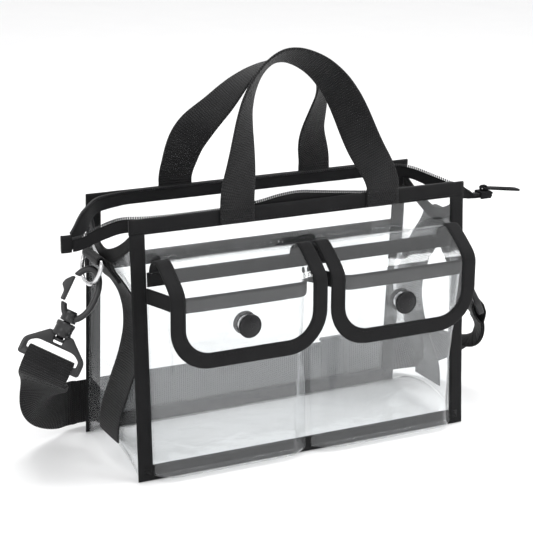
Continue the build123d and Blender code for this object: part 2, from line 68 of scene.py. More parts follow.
# ---- materials
def new_material(name):
    """A material, a function that adds a node, and one that fills a shader's inputs."""
    mat = bpy.data.materials.new(name)
    mat.use_nodes = True
    tree = mat.node_tree

    def fill(node, inputs):
        for key, value in dict(inputs).items():
            if isinstance(value, bpy.types.NodeSocket):
                tree.links.new(value, node.inputs[key])
            else:
                node.inputs[key].default_value = value
        return node

    def add(kind, inputs=(), **settings):
        made = tree.nodes.new(kind)
        for key, value in settings.items():
            setattr(made, key, value)
        return fill(made, inputs)

    def dress(inputs, node="Principled BSDF"):
        return fill(tree.nodes[node], inputs)

    return mat, add, dress


def maths(add, operation, a, b=0.0):
    return add("ShaderNodeMath", {0: a, 1: b}, operation=operation).outputs[0]


def cloud(add, coords, scale, detail, **more):
    inputs = {"Vector": coords, "Scale": scale, "Detail": detail, **more}
    return add("ShaderNodeTexNoise", inputs).outputs["Fac"]


def carried(add, value, start, stop, low=0.0, high=1.0):
    """A value from start to stop, carried over to low to high."""
    return add("ShaderNodeMapRange", {"Value": value, "From Min": start, "From Max": stop,
                                      "To Min": low, "To Max": high}).outputs[0]


def bumped(add, height, strength, distance):
    inputs = {"Height": height, "Strength": strength, "Distance": distance * MM}
    return add("ShaderNodeBump", inputs).outputs[0]


def mixed(add, share, low, high):
    return add("ShaderNodeMix", {0: share, 6: low, 7: high}, data_type="RGBA").outputs[2]


def mottled(add, coords, scale, low, high):
    """A colour that wanders between low and high."""
    share = carried(add, cloud(add, coords, scale, 4, Roughness=0.6), 0.3, 0.7)
    return mixed(add, share, (*low, 1), (*high, 1))


def woven(name, rib, lump, depth, low, high, roughness, sheen):
    """Black cloth between two greys, with a painted highlight that lightens its raised ribs and yarn tops.
    rib and lump are the pitches of its ribs and of its yarns, in mm.
    """
    mat, add, dress = new_material(name)
    low, high = ((grey, grey, grey + 0.0005) for grey in (low, high))
    coords = add("ShaderNodeTexCoord").outputs
    parts = add("ShaderNodeSeparateXYZ", {0: coords["UV"]}).outputs
    along = maths(add, "DIVIDE", parts[0], rib * MM)
    across = maths(add, "DIVIDE", parts[1], lump * MM)
    shifted = maths(add, "ADD", across, maths(add, "MULTIPLY", maths(add, "FLOOR", along), 0.5))
    ridge, yarn = (maths(add, "ABSOLUTE", maths(add, "SINE", maths(add, "MULTIPLY", wave, math.pi)))
                   for wave in (along, shifted))
    yarn = maths(add, "ADD", 0.45, maths(add, "MULTIPLY", yarn, 0.55))
    height = maths(add, "MULTIPLY", maths(add, "POWER", ridge, 0.6), yarn)
    fuzz = cloud(add, coords["Object"], 2600, 3)
    height = maths(add, "ADD", height, maths(add, "MULTIPLY", fuzz, 0.35))
    base = mottled(add, coords["Object"], 60, low, high)
    # painted highlight: the base colour is mixed towards a lighter grey where the ribs and yarns stand
    # highest
    ridge_highlight_colour = mixed(add, maths(add, "MULTIPLY", height, 0.5), base, (*[c * 1.5 for c in high], 1))
    dress({"Base Color": ridge_highlight_colour, "Normal": bumped(add, height, 0.9, depth),
           "Roughness": carried(add, fuzz, 0, 1, roughness - 0.08, roughness + 0.1),
           "Sheen Weight": sheen, "Sheen Roughness": 0.45, "Specular IOR Level": 0.12})
    return mat


def moulded(name, low, high, roughness, grain, coat=0.0, specular=0.5):
    """Moulded plastic or enamel between two greys, with a fine grain."""
    mat, add, dress = new_material(name)
    low, high = ((grey, grey, grey + 0.001) for grey in (low, high))
    coords = add("ShaderNodeTexCoord").outputs["Object"]
    dress({"Base Color": mottled(add, coords, 90, low, high),
           "Normal": bumped(add, cloud(add, coords, 900, 4), 0.35, grain),
           "Roughness": carried(add, cloud(add, coords, 240, 6), 0.3, 0.75, roughness, roughness + 0.14),
           "Coat Weight": coat, "Coat Roughness": 0.08, "Specular IOR Level": specular})
    return mat


def plated(name, tone, roughness):
    """Bright metal plate with fine scratches."""
    mat, add, dress = new_material(name)
    coords = add("ShaderNodeTexCoord").outputs["Object"]
    stretched = add("ShaderNodeMapping", {"Vector": coords, "Scale": (1, 1, 14)}).outputs[0]
    scratch = cloud(add, stretched, 700, 5)
    dress({"Base Color": mottled(add, coords, 140, [c * 0.86 for c in tone], tone),
           "Roughness": carried(add, scratch, 0.35, 0.7, roughness, roughness + 0.16),
           "Normal": bumped(add, scratch, 0.15, 0.02), "Metallic": 1.0})
    return mat


def clear_sheet(name, tint, haze):
    """Clear vinyl: most light goes straight through, and it mirrors at a glancing angle with a faint haze."""
    mat, add, dress = new_material(name)
    coords = add("ShaderNodeTexCoord").outputs["Object"]
    ripple = cloud(add, coords, 26, 3, Roughness=0.45, Distortion=0.6)
    crease = maths(add, "MULTIPLY", cloud(add, coords, 90, 2), 0.12)
    bump = bumped(add, maths(add, "ADD", ripple, crease), 0.55, 2.4)
    gloss = dress({"Base Color": (0.93, 0.94, 0.95, 1), "Metallic": 0.8, "Normal": bump,
                   "Roughness": carried(add, cloud(add, coords, 35, 5), 0.35, 0.75, 0.05, 0.14)})
    facing = add("ShaderNodeLayerWeight", {"Blend": 0.5, "Normal": bump}).outputs["Facing"]
    share = carried(add, maths(add, "POWER", facing, 5.0), 0, 1, haze, 0.9)
    through = add("ShaderNodeBsdfTransparent", {"Color": (*tint, 1)}).outputs[0]
    mix = add("ShaderNodeMixShader", {0: share, 1: through, 2: gloss.outputs[0]}).outputs[0]
    dress({"Surface": mix}, "Material Output")
    return mat


TAPE = woven("grosgrain_tape", 0.85, 0.5, 0.16, 0.004, 0.008, 0.62, 0.04)
WEBBING = woven("ribbed_webbing", 1.9, 1.7, 0.8, 0.003, 0.014, 0.52, 0.06)
ZIP_CLOTH = woven("zip_cloth", 0.6, 0.45, 0.1, 0.004, 0.007, 0.7, 0.03)
THREAD = woven("thread", 0.35, 0.25, 0.06, 0.005, 0.010, 0.55, 0.05)
COIL = moulded("zip_coil", 0.008, 0.014, 0.4, 0.02)
PLASTIC = moulded("black_plastic", 0.008, 0.014, 0.3, 0.03)
ENAMEL = moulded("black_enamel", 0.004, 0.007, 0.24, 0.01, 0.15, 0.22)
MATT_BLACK = moulded("matt_black", 0.005, 0.009, 0.62, 0.03, specular=0.12)
NICKEL = plated("nickel", (0.72, 0.72, 0.73), 0.16)
CLEAR = clear_sheet("clear_vinyl", (0.984, 0.987, 0.988), 0.045)


# ---- mesh tools
def unit(v):
    v = np.asarray(v, float)
    return v / np.maximum(np.linalg.norm(v, axis=-1, keepdims=True), 1e-12)


def make(name, verts, faces, material, uvs=None, smooth=True):
    """A mesh object from points in millimetres. uvs are one per vertex, in metres."""
    mesh = bpy.data.meshes.new(name)
    points = [tuple(p) for p in np.asarray(verts, float) * MM]
    mesh.from_pydata(points, [], [tuple(int(i) for i in f) for f in faces])
    mesh.materials.append(material)
    if uvs is not None:
        layer = mesh.uv_layers.new(name="UVMap")
        index = np.zeros(len(mesh.loops), np.int32)
        mesh.loops.foreach_get("vertex_index", index)
        layer.data.foreach_set("uv", np.asarray(uvs, np.float32)[index].ravel())
    if smooth:
        mesh.polygons.foreach_set("use_smooth", np.ones(len(mesh.polygons), bool))
    mesh.validate()
    obj = bpy.data.objects.new(name, mesh)
    bpy.context.scene.collection.objects.link(obj)
    return obj


def cubic(p, slopes, spans, steps, count):
    """Evenly spaced points on the cubic through p; spans scale the slopes on each stretch."""
    line = []
    for i, h in enumerate(spans):
        for t in np.linspace(0, 1, steps, endpoint=False):
            line.append((2 * t ** 3 - 3 * t ** 2 + 1) * p[i] + (t ** 3 - 2 * t ** 2 + t) * h * slopes[i]
                        + (3 * t ** 2 - 2 * t ** 3) * p[i + 1] + (t ** 3 - t ** 2) * h * slopes[i + 1])
    return resample(np.array(line + [p[-1]]), count)


def curve_points(points, count):
    """Points spaced evenly along a smooth curve through the given ones."""
    p = np.asarray(points, float)
    ext = np.vstack([2 * p[0] - p[1], p, 2 * p[-1] - p[-2]])
    return cubic(p, (ext[2:] - ext[:-2]) / 2, np.ones(len(p) - 1), 24, count)


def resample(line, count):
    """The same polyline with evenly spaced points."""
    line = np.asarray(line, float)
    steps = np.linalg.norm(np.diff(line, axis=0), axis=1)
    reach = np.concatenate([[0], np.cumsum(steps)])
    at = np.linspace(0, reach[-1], count)
    return np.stack([np.interp(at, reach, line[:, k]) for k in range(line.shape[1])], -1)


def tangents(line):
    return unit(np.gradient(np.asarray(line, float), axis=0))


def wander(p, size, seed=0.0):
    """Smooth noise from -1 to 1 at a point in mm; size is its grain in mm."""
    return noise.noise(Vector((p[0] / size + seed, p[1] / size - seed, p[2] / size + 2 * seed)))


def pill(width, thick, turns=4, flat=6):
    """A flat section with rounded edges: (across, up) points, anticlockwise."""
    r = thick / 2
    pts = []
    for side in (1, -1):
        centre = side * (width / 2 - r)
        for k in range(turns + 1):
            a = (-0.5 + k / turns) * math.pi
            pts.append((centre + side * r * math.cos(a), side * r * math.sin(a)))
        for k in range(1, flat):
            pts.append((centre * (1 - 2 * k / flat), side * r))
    return np.array(pts)


def circle(sides):
    """Evenly spaced directions round a circle."""
    return [(math.cos(a), math.sin(a)) for a in np.linspace(0, 2 * math.pi, sides, endpoint=False)]


def bands(base, m, rings, closed=False):
    """Faces between rings of m points, numbered from base; the last ring meets the first if closed."""
    faces = []
    for i in range(rings if closed else rings - 1):
        a, b = base + i * m, base + (i + 1) % rings * m
        faces += [(a + k, a + (k + 1) % m, b + (k + 1) % m, b + k) for k in range(m)]
    return faces


def end_faces(base, m, rings):
    last = base + (rings - 1) * m
    return [tuple(range(base + m - 1, base - 1, -1)), tuple(range(last, last + m))]


def sweep(name, centres, across, section, material, up=None, widths=None, rough=0.0, seed=0.0):
    """A section swept along a line. across is its first direction, longer where it is mitred."""
    centres = np.asarray(centres, float)
    n, m = len(centres), len(section)
    across = np.broadcast_to(np.asarray(across, float), (n, 3))
    if up is None:
        up = unit(np.cross(tangents(centres), unit(across)))
    normal = np.broadcast_to(up, (n, 3))
    scale = np.ones(n) if widths is None else np.asarray(widths, float)
    verts, uvs = [], []
    run = np.concatenate([[0], np.cumsum(np.linalg.norm(np.diff(centres, axis=0), axis=1))])
    for i in range(n):
        lift = rough * wander(centres[i], 11, seed)
        tall = min(1.0, scale[i] + 0.25)
        for s, t in section:
            verts.append(centres[i] + across[i] * s * scale[i] + normal[i] * (t * tall + lift))
            uvs.append((run[i] * MM, s * MM))
    return make(name, verts, bands(0, m, n) + end_faces(0, m, n), material, uvs)


def grid_of(us, vs, point):
    """A grid of points, with a row for each v."""
    return np.array([[point(u, v) for u in us] for v in vs])


def solid_sheet(name, grid):
    """A closed clear sheet over a grid of points, shape (rows, columns, 3)."""
    grid = np.asarray(grid, float)
    rows, cols = grid.shape[:2]
    normal = unit(np.cross(np.gradient(grid, axis=1), np.gradient(grid, axis=0)))
    top, low = grid + normal * PVC / 2, grid - normal * PVC / 2
    verts = np.concatenate([top.reshape(-1, 3), low.reshape(-1, 3)])
    half = rows * cols
    faces = []
    for r in range(rows - 1):
        for c in range(cols - 1):
            a, b, d, e = r * cols + c, r * cols + c + 1, (r + 1) * cols + c + 1, (r + 1) * cols + c
            faces.append((a, b, d, e))
            faces.append((half + e, half + d, half + b, half + a))
    rim = list(range(cols)) + [r * cols + cols - 1 for r in range(1, rows)]
    rim += [(rows - 1) * cols + c for c in range(cols - 2, -1, -1)]
    rim += [r * cols for r in range(rows - 2, 0, -1)]
    faces += [(a, half + a, half + b, b) for a, b in zip(rim, rim[1:] + rim[:1])]
    return make(name, verts, faces, CLEAR)


def turner(origin, axis):
    """A function that gives the point at a radius, height and angle about an axis."""
    axis = unit(axis)
    side = unit(np.cross(axis, [0.3, 0.9, 0.2]))
    third = np.cross(axis, side)
    return lambda r, h, a: np.asarray(origin) + axis * h + (side * math.cos(a) + third * math.sin(a)) * r


def lathe(name, profile, origin, axis, material, steps=40):
    """A closed turned piece. profile is (radius, height) points from axis to axis."""
    point = turner(origin, axis)
    verts, faces, rings = [], [], []
    for r, h in profile:
        count = steps if r > 0 else 1
        rings.append(range(len(verts), len(verts) + count))
        verts += [point(r, h, 2 * math.pi * k / steps) for k in range(count)]
    for low, high in zip(rings, rings[1:]):
        for k in range(steps):
            j = (k + 1) % steps
            if len(low) == 1:
                faces.append((low[0], high[j], high[k]))
            elif len(high) == 1:
                faces.append((low[k], low[j], high[0]))
            else:
                faces.append((low[k], low[j], high[j], high[k]))
    return make(name, verts, faces, material)


def pipe(name, profile, origin, axis, material, steps=44):
    """A turned ring from a closed (radius, height) outline."""
    point = turner(origin, axis)
    verts = [point(r, h, a) for a in np.linspace(0, 2 * math.pi, steps, endpoint=False) for r, h in profile]
    made = make(name, verts, bands(0, len(profile), steps, closed=True), material)
    made.data.set_sharp_from_angle(angle=math.radians(40))
    return made


def plate(name, loops, thick, bevel, origin, right, up, material):
    """A plate with rounded edges. loops are closed outlines in its plane: the outer one, then its holes."""
    right, up = unit(right), unit(up)
    out = np.cross(right, up)
    verts, faces, flat = [], [], []
    levels = [(bevel * (1 - math.sin(t)), -thick / 2 + bevel * (1 - math.cos(t)))
              for t in np.linspace(0, math.pi / 2, 5)]
    levels += [(inset, -height) for inset, height in reversed(levels)]
    caps = []
    for number, loop in enumerate(loops):
        loop = np.asarray(loop, float)
        loop = loop[np.linalg.norm(loop - np.roll(loop, 1, axis=0), axis=1) > 1e-4]
        area = np.sum(loop[:, 0] * np.roll(loop[:, 1], -1) - loop[:, 1] * np.roll(loop[:, 0], -1))
        if (area > 0) == (number > 0):
            loop = loop[::-1]
        before, after = unit(loop - np.roll(loop, 1, axis=0)), unit(np.roll(loop, -1, axis=0) - loop)
        n0, n1 = np.stack([-before[:, 1], before[:, 0]], 1), np.stack([-after[:, 1], after[:, 0]], 1)
        inner = (n0 + n1) / np.maximum(1 + np.sum(n0 * n1, axis=1, keepdims=True), 0.35)
        m, base = len(loop), len(verts)
        for inset, height in levels:
            verts += [np.asarray(origin) + right * a + up * b + out * height for a, b in loop + inner * inset]
        faces += bands(base, m, len(levels))
        caps.append((base, m, loop + inner * levels[0][0]))
    outlines = [[Vector((a, b, 0)) for a, b in loop] for _, _, loop in caps]
    low = [base + i for base, m, _ in caps for i in range(m)]
    high = [base + (len(levels) - 1) * m + i for base, m, _ in caps for i in range(m)]
    for tri in tessellate_polygon(outlines):
        flat += [tuple(low[i] for i in tri), tuple(high[i] for i in tri)]
    obj = make(name, verts, faces + flat, material)
    weld(obj, 0.002)
    obj.data.set_sharp_from_angle(angle=math.radians(14))
    return obj


def weld(obj, reach):
    """Merges points closer than reach mm and turns the faces outwards."""
    bm = bmesh.new()
    bm.from_mesh(obj.data)
    bmesh.ops.remove_doubles(bm, verts=bm.verts, dist=reach * MM)
    bmesh.ops.recalc_face_normals(bm, faces=bm.faces)
    bm.to_mesh(obj.data)
    bm.free()


def join(name, pieces):
    """One object from several, keeping their materials."""
    bpy.ops.object.select_all(action="DESELECT")
    for p in pieces:
        p.select_set(True)
    bpy.context.view_layer.objects.active = pieces[0]
    bpy.ops.object.join()
    pieces[0].name = name
    pieces[0].data.name = name
    return pieces[0]


def place(obj, body, slot, *nodes):
    """Rides on a body and stands for CAD nodes; slot is not used."""
    weld(obj, 0.002)
    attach(obj, body)
    if nodes:
        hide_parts(*nodes)
    return obj


def place_bent(obj, body, slot, start, end, *nodes):
    """Bakes its transform into its mesh and stands for CAD nodes; body, slot, start and end are not used."""
    weld(obj, 0.002)
    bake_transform(obj)
    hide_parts(*nodes)
    return obj


def small_bars(spots, alongs, flanks, lifts, profile, sides):
    """Points and faces of small rounded bars. profile is (place along, radius, rise) for each ring."""
    verts, faces = [], []
    for spot, along, flank, lift in zip(spots, alongs, flanks, lifts):
        faces += bands(len(verts), sides, len(profile)) + end_faces(len(verts), sides, len(profile))
        verts += [spot + along * at + flank * c * r + lift * (s * r + rise)
                  for at, r, rise in profile for c, s in circle(sides)]
    return verts, faces


STITCH_RINGS = ((-0.5, 0.12, 0), (-0.3, 0.3, 0.0625), (0.3, 0.3, 0.0625), (0.5, 0.12, 0))


def stitches(name, line, across, normals, pitch=2.6, length=1.9):
    """A row of short thread stitches on a surface: one small rounded bar per pitch."""
    line = np.asarray(line, float)
    steps = np.concatenate([[0], np.cumsum(np.linalg.norm(np.diff(line, axis=0), axis=1))])
    count = max(2, int(steps[-1] // pitch))
    at = (np.arange(count) + 0.5) * pitch + (steps[-1] - count * pitch) / 2

    def pick(values):
        values = np.broadcast_to(values, line.shape)
        return np.stack([np.interp(at, steps, values[:, k]) for k in range(3)], -1)

    sides, ups = unit(pick(across)), unit(pick(normals))
    ahead = unit(np.cross(sides, ups)) * length
    verts, faces = small_bars(pick(line), ahead, sides, ups * 0.8, STITCH_RINGS, 6)
    return make(name, verts, faces, THREAD, np.zeros((len(verts), 2)))


def bound_edge(name, edge, inward, normals, width=TAPE_W, thick=TAPE_T, seed=0.0, rows=(2.2,), wave=0.25):
    """Binding tape folded over an edge, with its stitch rows on both faces."""
    edge = np.asarray(edge, float)
    inward, normals = (np.broadcast_to(np.asarray(v, float), edge.shape) for v in (inward, normals))
    parts = [sweep(name, edge + inward * width / 2, inward, pill(width, thick), TAPE, up=normals, rough=wave,
                   seed=seed)]
    for row in rows:
        for face in (1, -1):
            line = edge + inward * (width - row) + normals * face * thick / 2
            parts.append(stitches(name + "_stitch", line, inward, normals * face, 3.0, 2.1))
    return join(name, parts)


# ---- bag walls
def wall_y(z):
    return -BASE_D / 2 + (BASE_D - TOP_D) / 2 * z / BODY_H


def wall_frame(side):
    """Origin, right, up and outward directions of the front (-1) or back (1) wall."""
    up = np.array([0, -side * math.sin(LEAN), math.cos(LEAN)])
    return np.array([0, side * BASE_D / 2, LIFT]), X, up, np.array([0, side * math.cos(LEAN), math.sin(LEAN)])


def on_wall(side, x, v, off=PVC / 2):
    origin, right, up, out = wall_frame(side)
    return origin + right * x + up * v + out * off


def wall_grid(side, x0, x1, v0, v1, off, swell, ripple, seed):
    """A slightly swollen and rippled sheet on a wall, true at its edges."""
    out = wall_frame(side)[3]

    def point(x, v):
        a, b = (x - x0) / (x1 - x0), (v - v0) / (v1 - v0)
        calm = (math.sin(math.pi * a) * math.sin(math.pi * b)) ** 0.7
        p = on_wall(side, x, v, off)
        return p + out * calm * (swell + ripple * wander(p, 38, seed) + 0.35 * ripple * wander(p, 15, seed))

    return grid_of(np.linspace(x0, x1, 60), np.linspace(v0, v1, 44), point)


def wall_tape(name, node, side, v, off=PVC / 2, half=BODY_W / 2, width=TAPE_W, **settings):
    """A straight length of binding across a wall, down from height v."""
    up, out = wall_frame(side)[2:]
    edge = [on_wall(side, x, v, off) for x in np.linspace(-half, half, 90)]
    place(bound_edge(name, edge, -up, out, width, **settings), "bag", "binding_tape", node)


def panel_edges(side, top):
    """The binding's outer edge line and inward directions: down one side, along the base and up the other."""
    half = BODY_W / 2
    right, up = wall_frame(side)[1:3]
    walk = [(-half, v, right) for v in np.linspace(top, 0, 40)[:-1]] + [(-half, 0, right + up)]
    walk += [(x, 0, up) for x in np.linspace(-half, half, 60)[1:-1]] + [(half, 0, up - right)]
    walk += [(half, v, -right) for v in np.linspace(0, top, 40)[1:]]
    return [on_wall(side, x, v) for x, v, _ in walk], [inward for _, _, inward in walk]


for side, word, swell in ((-1, "front", 1.2), (1, "back", 2.0)):
    half = BODY_W / 2 - 0.6
    grid = wall_grid(side, -half, half, 0.6, BODY_H - 0.6, PVC / 2, swell, 1.4, 3.1 + side)
    place(solid_sheet(word + "_clear_wall", grid), "bag", "clear_pvc", word + "_panel")
    edge, inward = panel_edges(side, BODY_H - TAPE_W + 0.5)
    tape = bound_edge(word + "_edge_tape", edge + Z * 0.15, inward, wall_frame(side)[3], seed=side)
    place(tape, "bag", "binding_tape", word + "_edge_binding")
    wall_tape(word + "_top_tape", word + "_top_binding", side, BODY_H, thick=TAPE_T + 0.3, seed=5 + side)

# the base is flat to BASE_FLAT each way from the middle, then arches up to BASE_LIFT where it meets a gusset
BASE_LIFT = 16
BASE_FLAT = 100
BASE_HALF_D = 53


def base_point(x, y):
    reach = max(0.0, (abs(x) - BASE_FLAT) / (BODY_W / 2 - 2 - BASE_FLAT))
    rise = BASE_LIFT * reach ** 1.7 * (1 - (y / BASE_HALF_D) ** 2)
    return np.array([x, y, 0.45 + rise + 0.25 * abs(wander((x, y, 0), 30))])


xs = np.linspace(-BODY_W / 2 + 2.3, BODY_W / 2 - 2.3, 60)
grid = grid_of(xs, np.linspace(-BASE_HALF_D, BASE_HALF_D, 24), base_point)
place(solid_sheet("clear_base", grid), "bag", "clear_pvc", "bottom_gusset")

# ---- gussets
# (height, how far a gusset's middle is pulled in there)
GUSSET_BOW = curve_points(((0.8, -1), (20, -1.8), (38, 0.5), (58, 9), (80, 18), (103, 22.5), (123, 19),
                           (140, 8.5), (156, -3.4), (170, -4.5), (192, -1)), 200)
GUSSET_DIP = 20
GUSSET_TOP = 186
GUSSET_TAPE_W = 10.5


def bow(z):
    """How far a gusset's middle is pulled in at a height."""
    return float(np.interp(z, GUSSET_BOW[:, 0], GUSSET_BOW[:, 1]))


def gusset_point(sx, u, z, off=0.0):
    """A point on the left (-1) or right (1) gusset; u runs from -1 at the front to 1 at the back."""
    half = -wall_y(z) - 0.9
    return np.array([sx * (BODY_W / 2 - 2 - bow(z) * (1 - u * u) + off), u * half, z])


def gusset_rim(u):
    near = math.sqrt(u * u + 0.01) - 0.1
    return GUSSET_TOP - GUSSET_DIP * (1 - 0.36 * near - 0.675 * u * u)


def gusset_skin(sx, u, b):
    """A point on a gusset's loose sheet; b runs from its base to its rim."""
    low = 1 + BASE_LIFT * (1 - u * u)
    p = gusset_point(sx, u, low + (gusset_rim(u) - low) * b, -PVC / 2)
    calm = (1 - u * u) * math.sin(math.pi * b) ** 0.6
    fold = 1.6 * wander(p, 30, 7.3 * sx) + 0.9 * math.sin(3.2 * math.pi * b + 4 * u)
    return p - X * sx * max(0.0, calm * (1.2 + fold))


for sx, word in ((-1, "left"), (1, "right")):
    grid = grid_of(np.linspace(-1, 1, 30), np.linspace(0, 1, 46), lambda u, b: gusset_skin(sx, u, b))
    place(solid_sheet(word + "_clear_gusset", grid), "bag", "clear_pvc", word + "_gusset")
    us = np.linspace(-1, 1, 50)
    rim = np.array([gusset_point(sx, u, gusset_rim(u) + 0.8, -PVC / 2) for u in us])
    low = np.array([gusset_point(sx, u, gusset_rim(u) - GUSSET_TAPE_W, -PVC / 2) for u in us])
    down = unit(low - rim)
    normals = unit(np.cross(tangents(rim), down)) * -sx
    tape = bound_edge(word + "_gusset_tape", rim, down, normals, GUSSET_TAPE_W, seed=9 * sx)
    place(tape, "bag", "binding_tape", word + "_gusset_top_binding")
    centres = [gusset_point(sx, 0, z, 1.7) for z in np.linspace(18.5, 159.5, 60)]
    side_web = sweep(word + "_side_webbing", centres, Y, pill(38, 1.3, flat=10), WEBBING, rough=0.25, seed=sx)
    for v in side_web.data.vertices:
        v.co.x += sx * bow(v.co.z / MM) * (v.co.y / MM / 50) ** 2 * MM
    place(side_web, "bag", "webbing", word + "_gusset_webbing")

# ---- rear slip pocket
grid = wall_grid(1, -138, 138, 1.5, 146, PVC + 0.85 + PVC / 2, 0.8, 0.7, 12.7)
place(solid_sheet("rear_clear_pocket", grid), "bag", "clear_pvc", "rear_pocket")
wall_tape("rear_pocket_tape", "rear_pocket_binding", 1, 146.5, PVC + 1.6, thick=1.8, seed=21, wave=0.15)

# ---- front pockets
# the pockets' heights, their depths at those heights, and the points along a pocket's plan
POCKET_BASE = 4
POCKET_TOP = 146
POCKET_DEPTH = (13, 35)
PLAN_COUNT = 96

def pocket_line(sx, z, skin=0.0, sag=0.0):
    """The pocket's plan at a height as an even line: outer side wall, rounded front, inner side wall."""
    share = (z - POCKET_BASE) / (POCKET_TOP - POCKET_BASE)
    back = wall_y(z) - 1.6
    front = wall_y(z) - POCKET_DEPTH[0] - share * (POCKET_DEPTH[1] - POCKET_DEPTH[0]) - skin
    outer = np.array([-129 - skin, back]), np.array([-119 - skin, front])
    inner = np.array([-17 + skin, front]), np.array([-2 + min(skin, 0.6), back])
    corner = 7.0
    points = [outer[0]]
    for a, b, c in ((outer[0], outer[1], inner[0]), (outer[1], inner[0], inner[1])):
        p, q = b + unit(a - b) * corner, b + unit(c - b) * corner
        for t in np.linspace(0, 1, 8):
            points.append((1 - t) ** 2 * p + 2 * t * (1 - t) * b + t * t * q)
    points.append(inner[1])
    line = resample(points, PLAN_COUNT)
    mid = np.linspace(0, 1, PLAN_COUNT)
    swell = sag * np.sin(np.pi * np.clip((mid - 0.18) / 0.64, 0, 1))
    line = np.column_stack([line[:, 0], line[:, 1] - swell, np.full(PLAN_COUNT, float(z))])
    return line if sx < 0 else (line * [-1, 1, 1])[::-1]


def pocket_row(sx, b):
    """The loose pocket wall's plan at a share of its height."""
    z = POCKET_BASE + (POCKET_TOP - POCKET_BASE) * b
    line = pocket_line(sx, z, -PVC / 2, 1.6 * math.sin(math.pi * min(1, b * 1.15)) ** 0.8)
    calm = math.sin(math.pi * b) ** 0.5
    for i, p in enumerate(line):
        from_end = min(i, PLAN_COUNT - 1 - i)
        ripple = 1.1 * wander(p, 24, 3.7 * sx) + 0.5 * wander(p, 9, 5.1 * sx)
        line[i, 1] += calm * min(1.0, from_end / 8) * ripple
        tuck = 3.2 * math.sin(math.pi * max(0.0, 1 - from_end / 17)) * calm
        line[i, 0] += tuck if i < PLAN_COUNT / 2 else -tuck
    return line


for sx, word in ((-1, "left"), (1, "right")):
    wall = solid_sheet(word + "_pocket_wall", [pocket_row(sx, b) for b in np.linspace(0, 1, 50)])
    plan = pocket_line(sx, POCKET_BASE, -PVC)
    plan[:, 2] += 0.35
    back = np.column_stack([plan[:, 0], np.full(PLAN_COUNT, wall_y(POCKET_BASE) - 1.6), plan[:, 2]])
    floor_rows = [plan * (1 - t) + back * t for t in np.linspace(0, 0.995, 8)]
    base_sheet = solid_sheet(word + "_pocket_floor", floor_rows)
    place(join(word + "_clear_pocket", [wall, base_sheet]), "bag", "clear_pvc", word + "_pocket")
    rim = pocket_line(sx, POCKET_TOP + 0.8, 0.0, 0.3)
    low = pocket_line(sx, POCKET_TOP - TAPE_W + 0.8, 0.0, 0.8)
    down = unit(low - rim)
    tape = bound_edge(word + "_pocket_tape", rim, down, unit(np.cross(tangents(rim), down)), thick=2.1,
                      seed=14 * sx)
    place(tape, "bag", "binding_tape", word + "_pocket_binding")

# ---- flap tape and flaps
FLAP_TAPE_TOP = 158.5
FLAP_TAPE_W = 11
wall_tape("flap_joining_tape", "flap_tape", -1, FLAP_TAPE_TOP, PVC + 1.0, BODY_W / 2 - TAPE_W - 0.2,
          FLAP_TAPE_W, thick=1.5, seed=31, rows=(1.6, FLAP_TAPE_W - 1.6), wave=0.1)

FLAP_X = 64.5
FLAP_W = 126
FLAP_CORNER = 32
# the flap's side view: (y, z) from its root over the fold to its hem
FLAP_SIDE = ((wall_y(152) - 2.0, 152), (wall_y(158) - 2.4, 159.5), (-50, 165.5), (-57, 168.3), (-66, 163.5),
             (-78, 155), (-83.4, 149), (-84.35, 142), (-84.35, 120), (-84.35, 106), (-84.35, 93))
# a flap would bend between these two points when lifted; place_bent takes them but does not use them
FLAP_FOLD = ((0, -51, 168), (0, -60, 168))
flap_line = curve_points(FLAP_SIDE, 120)
FLAP_LEN = np.linalg.norm(np.diff(flap_line, axis=0), axis=1).sum()

def flap_point(sx, x, s, off=0.0):
    """A point on a flap: x from its middle, s along it from its root."""
    at = np.clip(s / FLAP_LEN, 0, 1) * (len(flap_line) - 1)
    i = min(int(at), len(flap_line) - 2)
    y, z = flap_line[i] + (flap_line[i + 1] - flap_line[i]) * (at - i)
    dy, dz = unit(flap_line[i + 1] - flap_line[i])
    return np.array([sx * FLAP_X + x, y + dz * off, z - dy * off])


def flap_half(s, margin):
    """The flap's half width at a distance from its root."""
    r = FLAP_CORNER - margin
    left = FLAP_LEN - margin - s
    half = FLAP_W / 2 - margin
    return half if left >= r else half - r + math.sqrt(max(0.0, r * r - (r - left) ** 2))


def flap_skin(sx, a, b):
    """A point on the flap's loose sheet: a across from -1 to 1, b along it from 0 to 1."""
    s = b * (FLAP_LEN - 0.5)
    x = a * flap_half(s, 0.5)
    free = math.sin(math.pi * b) * (1 - abs(a) ** 3)
    return flap_point(sx, x, s, free * (0.9 * wander(flap_point(sx, x, s), 26, 6.6 * sx) - 0.2))


def flap_path():
    """Round the flap's edge: (x, s) with the directions inwards across and along."""
    corner_at = FLAP_LEN - FLAP_CORNER
    half = FLAP_W / 2
    path = [(-half, s, 1, 0) for s in np.linspace(6, corner_at, 46)]
    for t in np.linspace(0, math.pi / 2, 14)[1:]:
        c, d = math.cos(t), math.sin(t)
        path.append((-half + FLAP_CORNER * (1 - c), corner_at + FLAP_CORNER * d, c, -d))
    mirrored_side = [(-x, s, -dx, ds) for x, s, dx, ds in path[::-1]]
    path += [(x, FLAP_LEN, 0, -1) for x in np.linspace(-half + FLAP_CORNER, half - FLAP_CORNER, 26)[1:]]
    return path + mirrored_side[1:]


